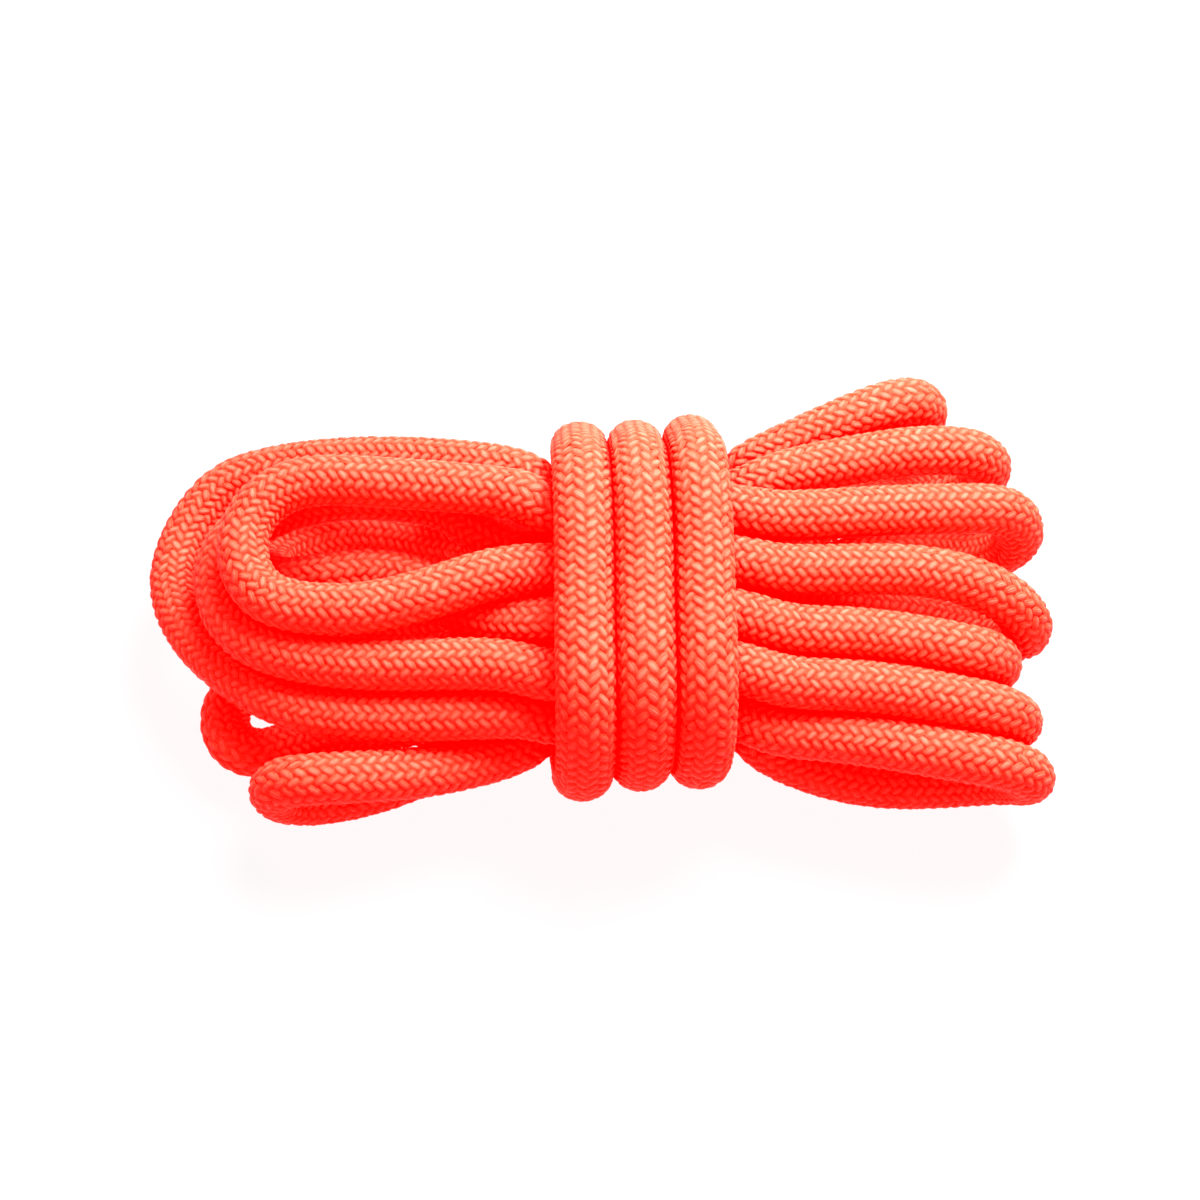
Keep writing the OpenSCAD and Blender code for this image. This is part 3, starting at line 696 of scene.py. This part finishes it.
    # made real before it is rolled, so that every float bends with the rope
    real = addNode(tree, "GeometryNodeRealizeInstances", {0: picked})
    readUv = addNode(tree, "GeometryNodeInputNamedAttribute", {"Name": "yarnUv"},
        data_type="FLOAT_VECTOR")
    readCell = addNode(tree, "GeometryNodeInputNamedAttribute", {"Name": "shadeCell"},
        data_type="FLOAT_VECTOR")
    moved = addNode(tree, "ShaderNodeVectorMath", {0: readUv, 1: readCell}, operation="ADD")
    shaded = addNode(tree, "GeometryNodeStoreNamedAttribute",
        {"Geometry": real, "Name": "yarnUv", "Value": moved},
        data_type="FLOAT2", domain="CORNER")

    line = addNode(tree, "GeometryNodeObjectInfo", {"Object": given["Line"]})
    rolled = addNode(tree, "GeometryNodeGroup",
        {"Strip": shaded, "Line": line.outputs["Geometry"], "Radius": given["Weave Radius"]},
        node_tree=rollGroup)
    smooth = addNode(tree, "GeometryNodeSetShadeSmooth", {0: rolled})
    dressed = addNode(tree, "GeometryNodeSetMaterial",
        {"Geometry": smooth, "Material": material})
    addNode(tree, "NodeGroupOutput", {0: dressed})
    return tree


floatTree = makeFloatTree(braidSizes, rollGroup, yarnMaterial)
braidRows = int(ropeLength / braidSizes["floatSpacing"] - 2 * braidSizes["bareRows"])
braidPieces = []
for section in range(braidSizes["sections"]):
    firstRow = section * braidRows // braidSizes["sections"]
    endRow = (section + 1) * braidRows // braidSizes["sections"]
    piece = runTree(f"sheath_braid_{section + 1}", floatTree, {
        "Line": ropeLineObject,
        "Columns": braidSizes["columns"],
        "First Row": firstRow,
        "Rows": endRow - firstRow,
        "Float Spacing": braidSizes["floatSpacing"],
        "Weave Radius": braidSizes["weaveRadius"],
        "Float Length": braidSizes["floatLength"],
        "Float Width": braidSizes["floatWidth"],
        "Crown": braidSizes["crown"],
        "Sink": braidSizes["sink"],
        "Taper": braidSizes["taper"],
        "Unevenness": braidSizes["unevenness"],
        "Roll": braidSizes["roll"],
        "Lean": braidSizes["lean"],
        "Seed": braidSizes["seed"],
    })
    braidPieces.append(piece)
print("braid made,", sum(len(piece.data.polygons) for piece in braidPieces), "faces")


bpy.data.objects.remove(ropeLineObject)


# A hot-knifed end: the polyamide melts to a hard glossy plug, darker than the yarn, with the
# last floats smeared into its side and a slightly sunken, lumpy face.
endSizes = {
    "length": 8 * mm,
    "radius": 4.85 * mm,
    # the rings that lie over the rope's last floats: how far back and how far in each one is
    "skirt": [(0.8 * mm, 0.35 * mm), (0.2 * mm, 0.1 * mm)],
    "firstRing": 0.6 * mm,  # of the straight side, from the rope's end
    "ringStep": 0.8 * mm,
    "sideRings": 8,
    "rim": 1.1 * mm,
    "rimRings": 8,
    "faceRings": (0.95, 0.75, 0.5, 0.25),  # shares of the face's radius
    "faceDip": 0.25 * mm,
    "lumps": 0.08 * mm,
    "smearShare": 0.6,
    "smearsRound": 12,
    "smearsAlong": 1500,  # radians to a metre
    "smearLength": 5 * mm,
    "flowShare": 0.7,
    "flowsAlong": 900,  # radians to a metre
    "sides": 96,
}


def makeFusedEnd(name, at, before, sizes, material):
    # at is the rope's end, and before the route point next to it
    axis = (Vector(at) - Vector(before)).normalized()
    side = axis.cross(Vector((0, 0, 1))).normalized()
    up = side.cross(axis)
    radius, rim = sizes["radius"], sizes["rim"]
    # the profile from the rope out to the middle of the face: distance along, radius
    profile = [(-back, radius - inset) for back, inset in sizes["skirt"]]
    profile += [(sizes["firstRing"] + sizes["ringStep"] * number, radius)
        for number in range(sizes["sideRings"])]
    for step in range(1, sizes["rimRings"]):
        turn = math.pi / 2 * step / sizes["rimRings"]
        profile.append((sizes["length"] - rim + rim * math.sin(turn),
            radius - rim + rim * math.cos(turn)))
    profile += [(sizes["length"] - sizes["faceDip"] * (1 - share) ** 0.5, (radius - rim) * share)
        for share in sizes["faceRings"]]
    mesh = bmesh.new()
    rings = []
    for distance, ringRadius in profile:
        ring = []
        for number in range(sizes["sides"]):
            angle = 2 * math.pi * number / sizes["sides"]
            # the last floats smeared crosswise, and slow waves of melt; the face is smoother
            around, along = sizes["smearsRound"] * angle, sizes["smearsAlong"] * distance
            smear = math.sin(around + along) * math.sin(around - along)
            fade = max(0, 1 - max(0, distance) / sizes["smearLength"])
            flow = math.sin(3 * angle + 0.7) * math.sin(sizes["flowsAlong"] * distance + 2 * angle)
            bulge = sizes["smearShare"] * smear * fade + sizes["flowShare"] * flow
            bulge *= sizes["lumps"] * (1 if ringRadius > 0.5 * radius else 0.5)
            r = min(ringRadius + bulge, ropeSizes["diameter"] / 2)
            outward = side * math.cos(angle) + up * math.sin(angle)
            point = Vector(at) + axis * distance + outward * r
            ring.append(mesh.verts.new(point))
        rings.append(ring)
    for back, front in zip(rings, rings[1:]):
        for number in range(sizes["sides"]):
            after = (number + 1) % sizes["sides"]
            mesh.faces.new((back[number], back[after], front[after], front[number]))
    mesh.faces.new(rings[0])
    mesh.faces.new(rings[-1])
    bmesh.ops.recalc_face_normals(mesh, faces=mesh.faces)
    data = bpy.data.meshes.new(name)
    mesh.to_mesh(data)
    mesh.free()
    data.polygons.foreach_set("use_smooth", [True] * len(data.polygons))
    data.materials.append(material)
    piece = bpy.data.objects.new(name, data)
    scene.collection.objects.link(piece)
    return piece


# Melted polyamide: hard, smooth and glossy, its dye burnt a shade darker, with faint flow marks
# and a faint painted red glow.
meltedLook = {
    "colour": "#E0452A",
    "dark": "#B93420",
    "flowSize": 3 * mm,
    "flowTwist": 0.8,
    "pitSize": 0.8 * mm,
    "pitDepth": 0.08 * mm,
    "pitStrength": 0.5,
    # a faint painted red glow, as on the yarn
    "glow": "#FF1405",
    "paintedGlowStrength": 0.2,
    "roughness": 0.28,
    "ior": 1.53,
}


def makeMeltedMaterial(look):
    material, tree, shader = startMaterial("melted_polyamide_hot_cut")
    where = addNode(tree, "ShaderNodeTexCoord")
    flow = addNode(tree, "ShaderNodeTexNoise",
        {"Vector": where.outputs["Object"], "Scale": 1 / look["flowSize"], "Detail": 3.0,
         "Distortion": look["flowTwist"]})
    pits = addNode(tree, "ShaderNodeTexNoise",
        {"Vector": where.outputs["Object"], "Scale": 1 / look["pitSize"], "Detail": 2.0})
    colour = addNode(tree, "ShaderNodeMix",
        {0: flow, 6: hexColour(look["dark"]), 7: hexColour(look["colour"])}, data_type="RGBA")
    bump = addNode(tree, "ShaderNodeBump",
        {"Height": pits, "Distance": look["pitDepth"], "Strength": look["pitStrength"]})
    tree.links.new(colour.outputs[2], shader.inputs["Base Color"])
    tree.links.new(bump.outputs[0], shader.inputs["Normal"])
    shader.inputs["Roughness"].default_value = look["roughness"]
    shader.inputs["IOR"].default_value = look["ior"]
    shader.inputs["Emission Color"].default_value = hexColour(look["glow"])
    shader.inputs["Emission Strength"].default_value = look["paintedGlowStrength"]
    return material


meltedMaterial = makeMeltedMaterial(meltedLook)
fusedStart = makeFusedEnd("fused_end_start_melt", knots[0], knots[1], endSizes, meltedMaterial)
fusedFinish = makeFusedEnd("fused_end_finish_melt", knots[-1], knots[-2], endSizes,
    meltedMaterial)
print("fused ends made")


# Undyed polyamide core yarn, twisted in plies: dull white with slanting grooves, painted darker in
# the grooves as shade.
coreLook = {
    "ridge": "#F5F2EA",
    "paintedGrooveShade": "#D9D2C2",
    "twist": 4 * mm,
    "twistWander": 1.5,
    "grooveDepth": 0.1 * mm,
    "grooveStrength": 0.5,
    "roughness": 0.65,
}


def makeCoreMaterial(look):
    material, tree, shader = startMaterial("undyed_polyamide_core_yarn_twisted")
    where = addNode(tree, "ShaderNodeTexCoord")
    plies = addNode(tree, "ShaderNodeTexWave",
        {"Vector": where.outputs["Object"], "Scale": 1 / look["twist"],
         "Distortion": look["twistWander"]},
        bands_direction="DIAGONAL")
    colour = addNode(tree, "ShaderNodeMix",
        {0: plies.outputs[1], 6: hexColour(look["paintedGrooveShade"]), 7: hexColour(look["ridge"])},
        data_type="RGBA")
    bump = addNode(tree, "ShaderNodeBump",
        {"Height": plies.outputs[1], "Distance": look["grooveDepth"],
         "Strength": look["grooveStrength"]})
    tree.links.new(colour.outputs[2], shader.inputs["Base Color"])
    tree.links.new(bump.outputs[0], shader.inputs["Normal"])
    shader.inputs["Roughness"].default_value = look["roughness"]
    return material


# Polyester marker film: thin, milky and smooth, with no print.
filmLook = {"clear": "#DCE2E8", "milky": "#EEF1F3", "haze": 6 * mm, "roughness": 0.3}


def makeFilmMaterial(look):
    material, tree, shader = startMaterial("polyester_marker_film")
    where = addNode(tree, "ShaderNodeTexCoord")
    haze = addNode(tree, "ShaderNodeTexNoise",
        {"Vector": where.outputs["Object"], "Scale": 1 / look["haze"]})
    colour = addNode(tree, "ShaderNodeMix",
        {0: haze, 6: hexColour(look["clear"]), 7: hexColour(look["milky"])}, data_type="RGBA")
    tree.links.new(colour.outputs[2], shader.inputs["Base Color"])
    shader.inputs["Roughness"].default_value = look["roughness"]
    return material


coreMaterial = makeCoreMaterial(coreLook)
filmMaterial = makeFilmMaterial(filmLook)
hiddenMaterials = {"marker_tape": filmMaterial}
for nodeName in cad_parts:
    if nodeName.startswith("core_strand"):
        hiddenMaterials[nodeName] = coreMaterial
for nodeName, material in hiddenMaterials.items():
    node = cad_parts[nodeName]
    if not node.material_slots:
        node.data.materials.append(material)
    for slot in node.material_slots:
        slot.material = material
print("core and tape finished")


for piece in braidPieces + [underLayer]:
    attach(piece, "root")
for piece in (fusedStart, fusedFinish):
    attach(piece, "root")
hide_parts("sheath")
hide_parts("fused_end_start")
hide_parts("fused_end_finish")


# Plain soft studio light: one broad box above and behind the hank, to its right, and next to
# nothing from the world, so that every strand has a shaded side. The floor is a matt grey
# sweep with a white glow that only the eye sees, so it comes out pale and throws little back.
studio = {
    "worldStrength": 0.01,
    "boxWatts": 2.4,
    "boxSize": 0.24,
    "boxPlace": (0.11, 0.18, 0.32),
    "boxTarget": (0, 0, 0.02),
    "backdropGlow": 0.94,  # of white, for the eye only; on the floor the box adds the rest
    "floorColour": "#707070",
    "floorHalf": 3,  # metres
}


def addSeenRays(tree):
    # 1 for what is seen directly, mirrored or through a clear thing, 0 for what only lights
    path = addNode(tree, "ShaderNodeLightPath").outputs
    seen = addNode(tree, "ShaderNodeMath",
        {0: path["Is Camera Ray"], 1: path["Is Glossy Ray"]}, operation="ADD")
    return addNode(tree, "ShaderNodeMath", {0: seen, 1: path["Is Transmission Ray"]},
        operation="ADD", use_clamp=True)


def makeWorld(sizes):
    world = bpy.data.worlds.new("studioWorld")
    world.use_nodes = True
    tree = world.node_tree
    tree.nodes.clear()
    seen = addSeenRays(tree)
    light = addNode(tree, "ShaderNodeBackground",
        {"Color": (1, 1, 1, 1), "Strength": sizes["worldStrength"]})
    white = addNode(tree, "ShaderNodeBackground",
        {"Color": (1, 1, 1, 1), "Strength": sizes["backdropGlow"]})
    mixed = addNode(tree, "ShaderNodeMixShader", {0: seen, 1: light, 2: white})
    addNode(tree, "ShaderNodeOutputWorld", {0: mixed})
    scene.world = world


def hangSoftBox(sizes):
    box = bpy.data.lights.new("softBox", "AREA")
    box.shape, box.size, box.energy = "SQUARE", sizes["boxSize"], sizes["boxWatts"]
    lamp = bpy.data.objects.new("softBox", box)
    lamp.location = sizes["boxPlace"]
    aim = Vector(sizes["boxTarget"]) - Vector(sizes["boxPlace"])
    lamp.rotation_euler = aim.to_track_quat("-Z", "Y").to_euler()
    scene.collection.objects.link(lamp)


def makeFloor(sizes):
    floorMaterial = bpy.data.materials.new("white_sweep")
    floorMaterial.use_nodes = True
    tree = floorMaterial.node_tree
    tree.nodes.clear()
    seen = addSeenRays(tree)
    matt = addNode(tree, "ShaderNodeBsdfDiffuse", {"Color": hexColour(sizes["floorColour"])})
    glow = addNode(tree, "ShaderNodeEmission",
        {"Color": (1, 1, 1, 1), "Strength": sizes["backdropGlow"]})
    both = addNode(tree, "ShaderNodeAddShader", {0: matt, 1: glow})
    mixed = addNode(tree, "ShaderNodeMixShader", {0: seen, 1: matt, 2: both})
    addNode(tree, "ShaderNodeOutputMaterial", {0: mixed})
    data = bpy.data.meshes.new("floor")
    half = sizes["floorHalf"]
    data.from_pydata([(-half, -half, 0), (half, -half, 0), (half, half, 0), (-half, half, 0)], [],
        [(0, 1, 2, 3)])
    data.materials.append(floorMaterial)
    floor = bpy.data.objects.new("floor", data)
    scene.collection.objects.link(floor)


makeWorld(studio)
hangSoftBox(studio)
makeFloor(studio)
scene.view_settings.view_transform = "Standard"
print("studio lit")
